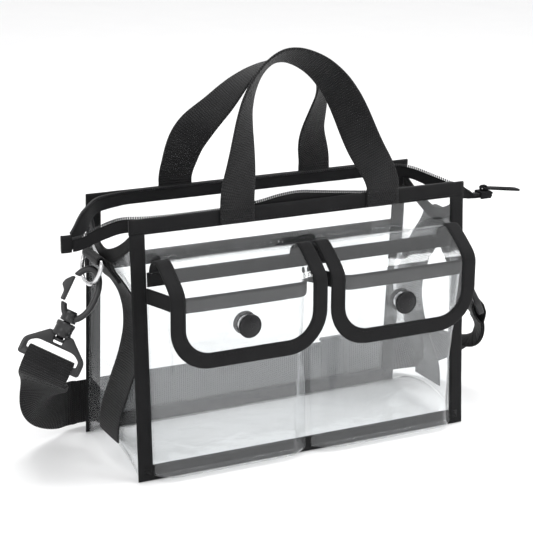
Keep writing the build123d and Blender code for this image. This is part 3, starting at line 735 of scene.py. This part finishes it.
for sx, word in ((-1, "left"), (1, "right")):
    grid = grid_of(np.linspace(-1, 1, 44), np.linspace(0, 1, 60), lambda a, b: flap_skin(sx, a, b))
    flap = solid_sheet(word + "_clear_flap", grid)
    outline, inward, normals = [], [], []
    for x, s, dx, ds in flap_path():
        near = min(s + 1, FLAP_LEN)
        ahead = unit(flap_point(sx, x, near) - flap_point(sx, x, near - 2))
        outline.append(flap_point(sx, x, s))
        inward.append(dx * X + ds * ahead)
        normals.append(np.cross(ahead, X))
    tape = bound_edge(word + "_flap_tape", outline, inward, normals, seed=17 * sx, wave=0.2)
    place_bent(flap, word + "_flap", "clear_pvc", *FLAP_FOLD, word + "_flap_panel", "flap_roots")
    place_bent(tape, word + "_flap", "binding_tape", *FLAP_FOLD, word + "_flap_binding")

# ---- press studs
STUD_X = 65.5
STUD_Z = 121
CAP_PROFILE = ((0, 0), (8.6, 0), (9, 0.3), (9, 1.5), (8.7, 2.1), (8.0, 2.5), (7.3, 2.35), (6.6, 2.6),
               (4.5, 3.1), (2.2, 3.35), (0, 3.4))
SOCKET_PROFILE = ((0, 0), (7.2, 0), (7.5, 0.4), (7.3, 1.4), (6.2, 2.6), (5.0, 3.0), (4.2, 2.9), (4.0, 2.4),
                  (4.0, 0.5), (0, 0.5))
STUD_PROFILE = ((0, 0), (6.2, 0), (6.5, 0.3), (6.2, 0.9), (3.2, 1.0), (1.9, 1.2), (1.8, 2.0), (2.2, 2.5),
                (2.0, 2.9), (1.2, 3.0), (0, 3.0))
BACK_PROFILE = ((0, 0), (8.7, 0), (9, 0.3), (8.8, 1.2), (7.4, 1.8), (4, 2.0), (0, 2.0))
pocket_h = POCKET_TOP - POCKET_BASE
deeper = POCKET_DEPTH[1] - POCKET_DEPTH[0]
pocket_lean = math.atan2(deeper - (BASE_D - TOP_D) / 2 * pocket_h / BODY_H, pocket_h)
stud_y = wall_y(STUD_Z) - POCKET_DEPTH[0] - (STUD_Z - POCKET_BASE) / pocket_h * deeper
stud_out = np.array([0, -math.cos(pocket_lean), -math.sin(pocket_lean)])
for sx, word in ((-1, "left"), (1, "right")):
    at = np.array([sx * STUD_X, stud_y, STUD_Z])
    for part, profile, y, way, material, body, slot in (
            ("cap", CAP_PROFILE, -84.7, -Y, ENAMEL, word + "_flap", "snap_cap"),
            ("socket", SOCKET_PROFILE, -84.0, Y, NICKEL, word + "_flap", "snap_metal")):
        made = lathe(word + "_stud_" + part, profile, (sx * STUD_X, y, STUD_Z), way, material)
        place(made, body, slot, word + "_snap_" + part)
    post = lathe(word + "_stud_post", STUD_PROFILE, at, stud_out, NICKEL)
    place(post, "bag", "snap_metal", word + "_snap_stud")
    back = lathe(word + "_stud_back", BACK_PROFILE, at - stud_out * PVC, -stud_out, ENAMEL)
    place(back, "bag", "snap_cap", word + "_snap_back")

# ---- open zip
# one side's plan, and its lower and upper edges as (x, height); the front one humps up in the middle
ZIP_PLAN = ((-168.5, -2), (-152, -15), (-136, -31), (-118, -37.2), (-90, -39.2), (0, -39.2), (90, -39.2),
            (118, -37.2), (136, -31), (151, -15), (168, -2), (182, -2), (196.5, -2))
TAIL_X = 172
TAIL_Z = 172.1
ZIP_LOW = ((-172, 166), (-166, 167), (-150, 178), (-140, 185), (-110, 187), (110, 187), (137, 184.5),
           (150, 178), (164, 172), (174, 170), (200, 170))
ZIP_RUN = ((110, 195.4), (137, 193.5), (150, 188), (164, 181.5), (173, 177), (178.6, TAIL_Z), (200, TAIL_Z))
FRONT_CREST = ((-172, 175.5), (-166, 176), (-150, 188.8), (-140, 195.3), (-110, 195.8), (-60, 196.3),
               (-36, 198.8), (-20, 202), (-3, 203.3), (22, 200.2), (57, 196.3), *ZIP_RUN)
BACK_CREST = ((-172, 175.5), (-168, 178), (-160, 189), (-153, 193), (-140, 195.3), (-110, 195.8), *ZIP_RUN)
COIL_RINGS = ((-0.95, 0.35, 0), (-0.7, 0.6, 0), (0.7, 0.6, 0), (0.95, 0.35, 0))


def zip_line(side):
    """The zip's plan route with its tape's lower and upper edge heights."""
    plan = curve_points(ZIP_PLAN, 300)
    edges = []
    for edge in (ZIP_LOW, FRONT_CREST if side < 0 else BACK_CREST):
        xs, zs = zip(*edge)
        heights = np.interp(plan[:, 0], xs, zs)
        soft = np.convolve(np.pad(heights, 5, mode="edge"), np.ones(11) / 11, mode="valid")
        edges.append(np.where(plan[:, 0] > TAIL_X, np.minimum(soft, heights + 0.1), soft))
    return np.column_stack([plan[:, 0], plan[:, 1] * -side]), edges[0], edges[1]


for side, word in ((-1, "front"), (1, "back")):
    plan, low, crest = zip_line(side)
    middle = np.column_stack([plan, (low + crest) / 2])
    cloth = sweep(word + "_zip_cloth", middle, Z, pill(1, 0.06) * [1, 13], ZIP_CLOTH, widths=crest - low)
    place(cloth, "bag", "zip_tape", word + "_zip_tape")
    route = resample(np.column_stack([plan, crest + 1.0]), 236)
    ahead = tangents(route)
    flanks = unit(np.cross(Z, ahead)) * 1.6
    verts, faces = small_bars(route, np.tile(Z, (len(route), 1)), flanks, ahead, COIL_RINGS, 8)
    place(make(word + "_zip_coil", verts, faces, COIL), "bag", "zip_teeth", word + "_zip_teeth")

tab_line = np.array([(-176.8, 0, 173.1), (-173, 0, 172.9), (-169.2, 0, 173.0)])
end_tab = [sweep("zip_end_fold", resample(tab_line, 14), Z, pill(13.6, 3.6, turns=6), TAPE, rough=0.15,
                 seed=4)]
for face in (1, -1):
    for dz in (-5, 5):
        line = resample(tab_line + (0, 1.8 * face, dz), 12)
        end_tab.append(stitches("end_stitch", line, Z, Y * face, 2.2, 1.6))
place(join("zip_end_fold", end_tab), "bag", "zip_tape", "zip_end_tab")

# ---- zip slider and pull
SLIDER_X = 189
SLIDER_Z = (169.5, 175.5)
EYE_Z = 177.6


def arc(centre, radii, start, stop, count):
    """Points on an ellipse's arc between two angles in degrees."""
    angles = np.radians(np.linspace(start, stop, count))
    return [(centre[0] + radii[0] * math.cos(a), centre[1] + radii[1] * math.sin(a)) for a in angles]


def rounded(points, radius, steps=6):
    """A closed outline with rounded corners; radius is one number or one per corner."""
    pts = np.asarray(points, float)
    sizes = np.broadcast_to(radius, len(pts))
    line = []
    for i, b in enumerate(pts):
        a, c = pts[i - 1], pts[(i + 1) % len(pts)]
        reach = min(sizes[i], 0.48 * np.linalg.norm(a - b), 0.48 * np.linalg.norm(c - b))
        p, q = b + unit(a - b) * reach, b + unit(c - b) * reach
        for t in np.linspace(0, 1, steps if reach > 0.05 else 1):
            line.append(tuple((1 - t) ** 2 * p + 2 * t * (1 - t) * b + t * t * q))
    return line


def bar(w, h, cx=0.0, cy=0.0, corner=0.0):
    """A rectangle with rounded corners about a centre."""
    x, y = w / 2, h / 2
    return rounded([(cx - x, cy - y), (cx + x, cy - y), (cx + x, cy + y), (cx - x, cy + y)], corner)


slider_at = (SLIDER_X, 0, 0)
low, top = SLIDER_Z
u_shape = [(-5.3, low), (-3.8, low), (-3.8, top - 1.0), (3.8, top - 1.0), (3.8, low), (5.3, low), (5.3, top),
           (-5.3, top)]
u_shape = rounded(u_shape, (0.5, 0.5, 0.5, 0.5, 0.5, 0.5, 1.4, 1.4))
channel = plate("slider_body", [u_shape], 10, 0.35, slider_at, Y, Z, MATT_BLACK)
bridge = plate("slider_bridge", [bar(6.6, 5, 0, EYE_Z, 2.3), bar(4, 2.6, 0, EYE_Z, 1.2)], 2.4, 0.4, slider_at,
               X, Z, MATT_BLACK)
place(join("slider_shell", [channel, bridge]), "zip_slider", "zip_metal", "zip_slider")

DROOP = math.radians(8)
pull_ahead = np.array([math.cos(DROOP), 0, -math.sin(DROOP)])
pull_root = np.array([SLIDER_X, 0, EYE_Z])
outline = rounded([(-1.6, -4.2), (-1.6, -1.75), (4, -1.75), (4, 1.75), (-1.6, 1.75), (-1.6, 4.2), (14, 4.4),
                   (35, 4.5), (35, -4.5), (14, -4.4)], (0.9, 0.9, 0.8, 0.8, 0.9, 0.9, 4, 3, 3, 4))
pull = [plate("pull_blade", [outline], 1.6, 0.45, pull_root, pull_ahead, Y, MATT_BLACK)]
pin_line = [(SLIDER_X, y, EYE_Z) for y in np.linspace(-2.1, 2.1, 8)]
pull.append(sweep("pull_pin", pin_line, X, np.array(circle(20)) * 0.8, MATT_BLACK))
for k in range(6):
    rib = bar(0.9, 5.6, 16 + 2.4 * k, 0, 0.4)
    pull.append(plate("pull_rib", [rib], 2.2, 0.3, pull_root, pull_ahead, Y, MATT_BLACK))
place(join("pull_tab", pull), "zip_pull", "black_plastic", "zip_pull_tab")

# ---- carrying handles
HANDLE_W = 28
HANDLE_T = 1.9
FOOT_Y = 44.2
FRONT_ARCH = ((-56, -FOOT_Y, 200.5), (-52, -39, 215), (-43, -27, 242), (-33, -16, 272), (-2, -9, 301),
              (24, -11, 293), (46, -20, 265), (59, -34, 227), (67, -FOOT_Y, 200.5))
BACK_ARCH = ((-67, FOOT_Y, 200.5), (-65.5, 39, 217), (-61, 35, 233), (-38.5, 28.5, 259), (-13.5, 22.4, 283.5),
             (12, 20, 294), (40, 23, 281), (50.5, 30, 254), (47.8, 36, 228), (54.5, FOOT_Y, 200.5))


def spline(points, start, end, count):
    """Evenly spaced points on the smooth cubic through points, leaving along start and arriving along end."""
    p = np.asarray(points, float)
    h = np.linalg.norm(np.diff(p, axis=0), axis=1)
    n = len(p)
    a, b = np.zeros((n, n)), np.zeros((n, 3))
    a[0, 0] = a[-1, -1] = 1
    b[0], b[-1] = unit(start), unit(end)
    for i in range(1, n - 1):
        a[i, i - 1], a[i, i], a[i, i + 1] = h[i], 2 * (h[i - 1] + h[i]), h[i - 1]
        b[i] = 3 * (h[i] * (p[i] - p[i - 1]) / h[i - 1] + h[i - 1] * (p[i + 1] - p[i]) / h[i])
    return cubic(p, np.linalg.solve(a, b), h, 60, count)


def square_across(line, across):
    """Across directions made square to a line."""
    ahead = tangents(line)
    across = np.asarray(across, float)
    return unit(across - ahead * np.sum(across * ahead, axis=1, keepdims=True))


def box_stitching(name, side, x, v_low, v_high, width, off):
    """A stitched box with a cross in it on a wall."""
    out = wall_frame(side)[3]
    x0, x1 = x - width / 2, x + width / 2
    ring = [(x0, v_low), (x1, v_low), (x1, v_high), (x0, v_high)]
    runs = list(zip(ring, ring[1:] + ring[:1])) + [(ring[0], ring[2]), (ring[3], ring[1])]
    rows = []
    for (xa, va), (xb, vb) in runs:
        line = [on_wall(side, xa + (xb - xa) * t, va + (vb - va) * t, off) for t in np.linspace(0, 1, 12)]
        rows.append(stitches(name, line, unit(np.cross(out, line[-1] - line[0])), out, 2.8, 2.1))
    return rows


HANDLE_COUNT = 170
FOOT_COUNT = 14
HANDLES = ((-1, "front", FRONT_ARCH, 0.87, -0.5), (1, "back", BACK_ARCH, 0.95, -0.3))
for side, word, arch, lean_y, lean_z in HANDLES:
    line = spline(arch, (0, -0.1 * side, 1), (0, 0.1 * side, -1), HANDLE_COUNT)
    turn = np.linspace(0, math.pi, HANDLE_COUNT)
    across = np.column_stack([-side * np.cos(turn), lean_y * np.sin(turn), lean_z * np.sin(turn)])
    across = square_across(line, across)
    sway = np.array([wander(p, 55, 2.2 * side) for p in line]) * np.sin(turn) * 0.8
    line = line + unit(np.cross(tangents(line), across)) * sway[:, None]
    foot_v = np.linspace(186.8, 197.5, FOOT_COUNT)
    first = [on_wall(side, arch[0][0], v, 2.4) for v in foot_v]
    last = [on_wall(side, arch[-1][0], v, 2.4) for v in foot_v[::-1]]
    flat = np.tile(X * -side, (FOOT_COUNT, 1))
    route = np.vstack([first, line[1:-1], last])
    wide = np.vstack([flat, across[1:-1], -flat])
    strap = [sweep(word + "_handle_web", route, wide, pill(HANDLE_W, HANDLE_T, flat=10), WEBBING, rough=0.12,
                   seed=3 * side)]
    for foot in (arch[0], arch[-1]):
        strap += box_stitching(word + "_handle_stitch", side, foot[0], 188.3, 196.3, 22, 3.36)
    place_bent(join(word + "_handle_web", strap), word + "_handle", "webbing", (0, side * FOOT_Y, 195),
               (0, side * FOOT_Y, 204), word + "_handle", word + "_handle_anchors")

# ---- D-rings, tabs, snap hooks
RING_BAR = np.array([-152.0, 0, 161])
ring_fall = unit([-6, 0, -21])


def tube(name, line, radius, material, steps=20):
    """A closed ring of wire along a flat closed line in a plane holding Y."""
    line = np.asarray(line, float)
    ahead = unit(np.roll(line, -1, axis=0) - np.roll(line, 1, axis=0))
    side = unit(np.cross(unit(np.cross(Y, ring_fall)), ahead))
    third = np.cross(ahead, side)
    verts = [p + (s * c + t * d) * radius for p, s, t in zip(line, side, third) for c, d in circle(steps)]
    return make(name, verts, bands(0, steps, len(line), closed=True), material)


def mirrored(obj):
    """The same piece for the right side."""
    twin = obj.copy()
    twin.data = obj.data.copy()
    bpy.context.scene.collection.objects.link(twin)
    twin.data.transform(Matrix.Scale(-1, 4, (1, 0, 0)))
    twin.data.flip_normals()
    return twin


def put(obj, word, stem, body, slot, node):
    """Names a piece for its side and places it."""
    obj.name = word + "_" + stem
    place(obj, body, slot, word + "_" + node)


def both_sides(obj, stem, bodies, slot, node):
    """Places a left piece and its mirror image."""
    twin = mirrored(obj)
    put(obj, "left", stem, bodies[0], slot, node)
    put(twin, "right", stem, bodies[1], slot, node)


def one_side(obj, word, *rest):
    """Places a piece drawn on the left, mirrored if it belongs on the right."""
    if word == "right":
        twin = mirrored(obj)
        bpy.data.objects.remove(obj)
        obj = twin
    put(obj, word, *rest)


ring_path = []
for a, b in (arc((14, -4), (4, 4), 90, 0, 8) + arc((2, -4), (16, 16), 0, -90, 22)
             + arc((-2, -4), (16, 16), 270, 180, 22) + arc((-14, -4), (4, 4), 180, 90, 8)
             + [(x, 0) for x in np.linspace(-13, 13, 14)]):
    ring_path.append(RING_BAR + Y * a - ring_fall * b)
wire = tube("d_ring", ring_path, 1.6, NICKEL)
both_sides(wire, "ring_wire", ("left_ring", "right_ring"), "ring_metal", "d_ring")

tab = [(-138.0, 142.6), (-142.2, 148.9), (-147.4, 156.6), (-149.6, 158.6)]
tab += [(-152 + 2.95 * math.cos(a), 161 + 2.95 * math.sin(a)) for a in np.radians(np.arange(-75, -331, -16))]
tab += [(-147.9, 160.3), (-146.1, 156.4), (-140.7, 148.4), (-136.7, 142.9)]
tab_line = resample([(x, 0, z) for x, z in tab], 70)
tab_web = [sweep("tab", tab_line, Y, pill(30, 1.25, flat=8), WEBBING, rough=0.08, seed=8)]
for z in (145, 153):
    x = np.interp(z, [142.6, 148.9, 156.6], [-138, -142.2, -147.4]) - 0.5
    line = [(x, y, z) for y in np.linspace(-13, 13, 14)]
    tab_web.append(stitches("tab_stitch", line, unit([-0.3, 0, 1]), unit([-1, 0, -0.3])))
both_sides(join("tab", tab_web), "ring_loop", ("bag", "bag"), "webbing", "ring_tab")
claw_line = arc((1, 54.5), (13, 22.5), 148, -151, 64)
claw_line += [(-9.6, 44.3), (-7.2, 44.2)]
claw_line += arc((1, 54.5), (8.5, 17.5), -143, 139, 54)
claw_line += [(-6.6, 65.7), (-9.2, 65.8)]
gate_line = rounded([(-8.3, 45.3), (-8.3, 64.5), (-10.4, 64.5), (-14.3, 60), (-15.4, 56), (-12, 52),
                     (-11.9, 45.3)], (0.8, 0.8, 0.8, 1.6, 1.4, 1.6, 0.8))
yoke_line = rounded([(-24.5, -3), (24.5, -3), (24.5, 9), (9.3, 22.2), (3.6, 22.2), (3.6, 14), (-3.6, 14),
                     (-3.6, 22.2), (-9.3, 22.2), (-24.5, 9)], (2.6, 2.6, 3.5, 1, 0.4, 1.2, 1.2, 0.4, 1, 3.5))
slot_line = rounded([(-20, 3), (20, 3), (20, 8), (14.5, 12), (-14.5, 12), (-20, 8)], (1.2, 1.2, 2, 3, 3, 2))
WELL = ((3.3, 20), (6.6, 20), (7.2, 20.6), (7.2, 22.6), (6.8, 23.1), (6.8, 27.6), (7.2, 28.1), (7.2, 30.4),
        (6.6, 31), (3.3, 31))
NECK = ((0, 31.8), (5.6, 31.8), (6.0, 32.2), (6.0, 34.5), (5.6, 37), (4.2, 40.5), (0, 40.5))
STEM = ((0, 16), (3.6, 16), (4.2, 16.5), (4.2, 18), (3.8, 18.5), (2.8, 18.6), (2.8, 32), (0, 32))
STRAP_W = 36
STRAP_T = 1.6
STRAP_Y = 68
STRAP_MID_Z = 3.2 + STRAP_W / 2
STRAP_X = 146
FALL_COUNT = 120
# each hook as it would lie on the left: its shank, claw and bar directions, and the strap's way from it
HOOKS = (("left", (0.50, 0.08, 0.86), (0.80, -0.50, -0.37), (0.80, -0.50, -0.37),
          ((-190, 9, 65), (-185, 29, 44), (-172, 49, 29), (-159, 61, 23))),
         ("right", (0.34, 0.10, 0.93), (0.80, -0.50, -0.37), (0.30, -0.93, -0.04),
          ((-185.5, -7, 60), (-182, 11, 47), (-173, 33, 36), (-162, 53, 27), (-155.5, 63, 23))))
strap_halves = []
strap_stitching = []
for word, shank, claw_way, bar_way, strap_way in HOOKS:
    shank = unit(shank)
    claw_way, bar_way = (unit(np.array(way) - shank * np.dot(way, shank)) for way in (claw_way, bar_way))
    foot = RING_BAR + ring_fall * 20 - shank * 64 - claw_way
    claw = [plate("claw", [claw_line], 8, 2.2, foot, claw_way, shank, PLASTIC),
            lathe("neck", NECK, foot, shank, PLASTIC), lathe("stem", STEM, foot, shank, PLASTIC)]
    one_side(join("claw", claw), word, "hook_claw", word + "_hook", "black_plastic", "hook_body")
    gate = [plate("gate", [gate_line], 5, 0.9, foot, claw_way, shank, PLASTIC)]
    for k in range(3):
        rib = bar(1.5, 0.8, -14.0 + 0.25 * k, 55.4 + 1.7 * k, 0.3)
        gate.append(plate("gate_rib", [rib], 4.4, 0.25, foot, claw_way, shank, PLASTIC))
    one_side(join("gate", gate), word, "hook_lever", word + "_gate", "black_plastic", "hook_gate")
    yoke = [plate("yoke", [yoke_line, slot_line], 5, 1.1, foot, bar_way, shank, PLASTIC),
            pipe("collar", WELL, foot, shank, PLASTIC)]
    for x in (-22.3, 22.3):
        yoke.append(plate("yoke_rib", [bar(1.2, 10, x, 4.5, 0.5)], 5.6, 0.25, foot, bar_way, shank, PLASTIC))
    one_side(join("yoke", yoke), word, "strap_yoke", "bag", "black_plastic", "hook_yoke")

    fall = spline((foot - shank * 10.7, *strap_way, (-STRAP_X, STRAP_Y, STRAP_MID_Z)), -shank, X, FALL_COUNT)
    lie = np.minimum(1.0, np.linspace(0, 1, FALL_COUNT) * 1.15)[:, None]
    across = square_across(fall, bar_way * (1 - lie) + np.array([0.1, 0.1, 1]) * lie)
    out = unit(np.cross(tangents(fall), across))
    thin = np.cross(bar_way, shank)
    back_ply = fall[4:20][::-1] - out[4:20][::-1] * 1.75
    loop = [(-9.5, -3.4), (-5, -4.7), (1, -4.7)]
    loop += [(1 + 4.7 * math.sin(a), -4.7 * math.cos(a)) for a in np.radians(np.linspace(15, 165, 9))]
    loop += [(1, 4.7), (-5, 4.5), (-9, 2.6)]
    loop = [foot + shank * b + thin * c for b, c in loop]
    half = np.vstack([back_ply, loop, fall[3:]])
    half_across = np.vstack([across[4:20][::-1], np.tile(bar_way, (len(loop), 1)), across[3:]])
    packed = resample(np.hstack([half, half_across]), 230)
    flip = np.array([1 if word == "left" else -1, 1, 1])
    strap_halves.append((packed[:, :3] * flip, square_across(packed[:, :3], packed[:, 3:]) * flip))
    for at in (9, 18):
        line = np.array([fall[at] + across[at] * w + out[at] * 0.82 for w in np.linspace(-15, 15, 16)])
        ahead = tangents(fall)[at]
        strap_stitching.append(stitches("strap_stitch", line * flip, ahead * flip, out[at] * flip))

# ---- shoulder strap
xs = np.linspace(-STRAP_X, STRAP_X, 90)
run = np.column_stack([xs, STRAP_Y + 0.5 * np.sin(xs / 23), np.full(90, STRAP_MID_Z)])
route = np.vstack([strap_halves[0][0], run[1:-1], strap_halves[1][0][::-1]])
wide = np.vstack([strap_halves[0][1], np.tile(Z, (88, 1)), strap_halves[1][1][::-1]])
long_web = sweep("shoulder_web", route, wide, pill(STRAP_W, STRAP_T, flat=10), WEBBING, rough=0.1, seed=6)
place(join("shoulder_web", [long_web] + strap_stitching), "bag", "webbing", "shoulder_strap",
      "left_strap_end", "right_strap_end", "left_strap_loop", "right_strap_loop")

ADJUSTER_X = 90
adjuster = []
for z in (-19.3, 19.3):
    at = (ADJUSTER_X, STRAP_Y, STRAP_MID_Z)
    adjuster.append(plate("rail", [bar(26, 3.3, 0, z, 1.5)], 5.8, 0.9, at, X, Z, PLASTIC))
for x, w, y in ((-10.6, 4.6, 65.9), (10.6, 4.6, 65.9), (0, 5.2, 70.1)):
    at = (ADJUSTER_X, y, STRAP_MID_Z)
    adjuster.append(plate("bar", [bar(w, 38, x, 0, 1.2)], 1.7, 0.6, at, X, Z, PLASTIC))
place(join("adjuster_frame", adjuster), "strap_adjuster", "black_plastic", "strap_adjuster")

# ---- setting, lights and camera
FLOOR_HALF = 6000
floor_mat, add, dress = new_material("pale_floor")
speck = cloud(add, add("ShaderNodeTexCoord").outputs["Object"], 14, 4)
dress({"Base Color": mixed(add, speck, (0.90, 0.90, 0.905, 1), (0.93, 0.93, 0.93, 1)), "Roughness": 0.7,
       "Specular IOR Level": 0.2})
corners = [(x * FLOOR_HALF, y * FLOOR_HALF, 0) for x, y in ((-1, -1), (1, -1), (1, 1), (-1, 1))]
make("floor", corners, [(0, 1, 2, 3)], floor_mat, smooth=False)


def softbox(name, spot, target, size, power):
    light = bpy.data.lights.new(name, "AREA")
    light.shape = "RECTANGLE"
    light.size, light.size_y = size
    light.energy = power
    obj = bpy.data.objects.new(name, light)
    obj.location = spot
    obj.rotation_euler = (Vector(target) - Vector(spot)).to_track_quat("-Z", "Y").to_euler()
    bpy.context.scene.collection.objects.link(obj)


softbox("key", (0.9, -0.7, 1.5), (0, 0, 0.1), (0.7, 0.7), 16)
softbox("strip", (-1.2, -0.9, 0.9), (0, 0, 0.12), (0.2, 0.9), 5)
softbox("top", (0.1, 0.5, 1.7), (0, 0, 0.1), (1.0, 0.6), 9)

world = bpy.data.worlds.new("studio")
world.use_nodes = True
sky = world.node_tree.nodes["Background"].inputs
sky["Color"].default_value = (1, 1, 1, 1)
sky["Strength"].default_value = 0.95
bpy.context.scene.world = world

yaw, pitch, roll = (math.radians(a) for a in (26.87, 16.73, 0.55))
ahead = np.array([math.sin(yaw) * math.cos(pitch), math.cos(yaw) * math.cos(pitch), -math.sin(pitch)])
right = np.array([math.cos(yaw), -math.sin(yaw), 0])
above = np.cross(right, ahead)
turn = np.array([[math.cos(roll), math.sin(roll)], [-math.sin(roll), math.cos(roll)]])
right, above = turn @ np.array([right, above])
camera_data = bpy.data.cameras.new("camera")
camera_data.sensor_width = 36
camera_data.lens = 36 * 1696 / 533
camera = bpy.data.objects.new("camera", camera_data)
spot = (-0.579, -1.1243, 0.5142)
camera.matrix_world = Matrix([[right[i], above[i], -ahead[i], spot[i]] for i in range(3)] + [[0, 0, 0, 1]])
bpy.context.scene.collection.objects.link(camera)
bpy.context.scene.camera = camera

scene = bpy.context.scene
scene.view_settings.view_transform = "Standard"
scene.cycles.transparent_max_bounces = 40
